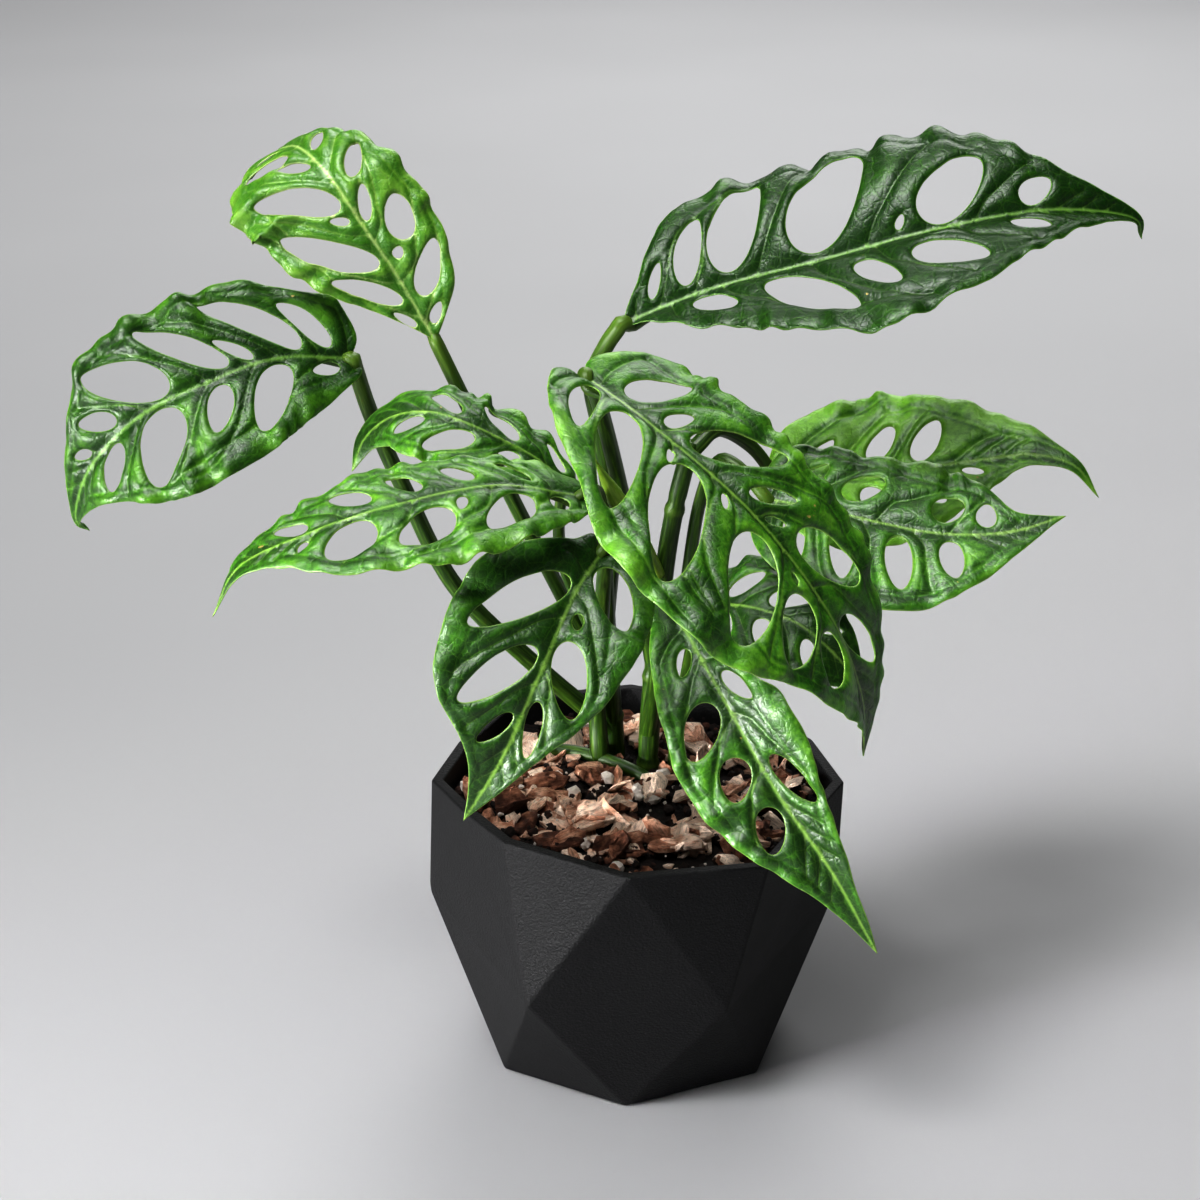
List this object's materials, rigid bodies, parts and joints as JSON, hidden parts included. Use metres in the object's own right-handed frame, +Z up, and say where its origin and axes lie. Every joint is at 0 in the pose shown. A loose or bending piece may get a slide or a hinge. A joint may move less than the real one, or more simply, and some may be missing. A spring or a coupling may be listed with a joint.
{
  "type": "potted monstera obliqua peru",
  "caption": "Climbing aroid house plant with thin leaf blades full of long holes on arching stalks, in a faceted pot with bark potting mix.",
  "frame": {"origin": "centre of the pot's flat underside", "axes": "+Z up through the pot; the front, where most leaf faces look, is towards -Y; +X is to the right seen from the front"},
  "size_m": [0.3904, 0.2404, 0.3579],
  "materials": {
    "pot": "matte, finely grained, charcoal black",
    "potting_mix": "rough bark chips in dark crumbs, with white perlite grains",
    "stem": "smooth, satin, olive green",
    "leaf": "satin gloss, mid green, puckered between the side veins",
    "leaf_dark": "satin gloss, deep green, puckered between the side veins",
    "leaf_light": "satin gloss, young yellow-green"
  },
  "bodies": {
    "root": {"pot": "pot", "potting_mix": "potting_mix", "cane_1": "stem", "cane_2": "stem", "runner": "stem", "new_leaf": "leaf_light", "petiole_a": "stem", "petiole_b": "stem", "petiole_c": "stem", "petiole_d": "stem", "petiole_e": "stem", "petiole_f": "stem", "petiole_g": "stem", "petiole_h": "stem", "petiole_i": "stem", "petiole_j": "stem", "petiole_k": "stem", "blade_a": "leaf_light", "blade_b": "leaf_dark", "blade_c": "leaf", "blade_d": "leaf", "blade_e": "leaf", "blade_f": "leaf", "blade_g": "leaf_dark", "blade_h": "leaf", "blade_i": "leaf", "blade_j": "leaf", "blade_k": "leaf"}
  },
  "joints": []
}
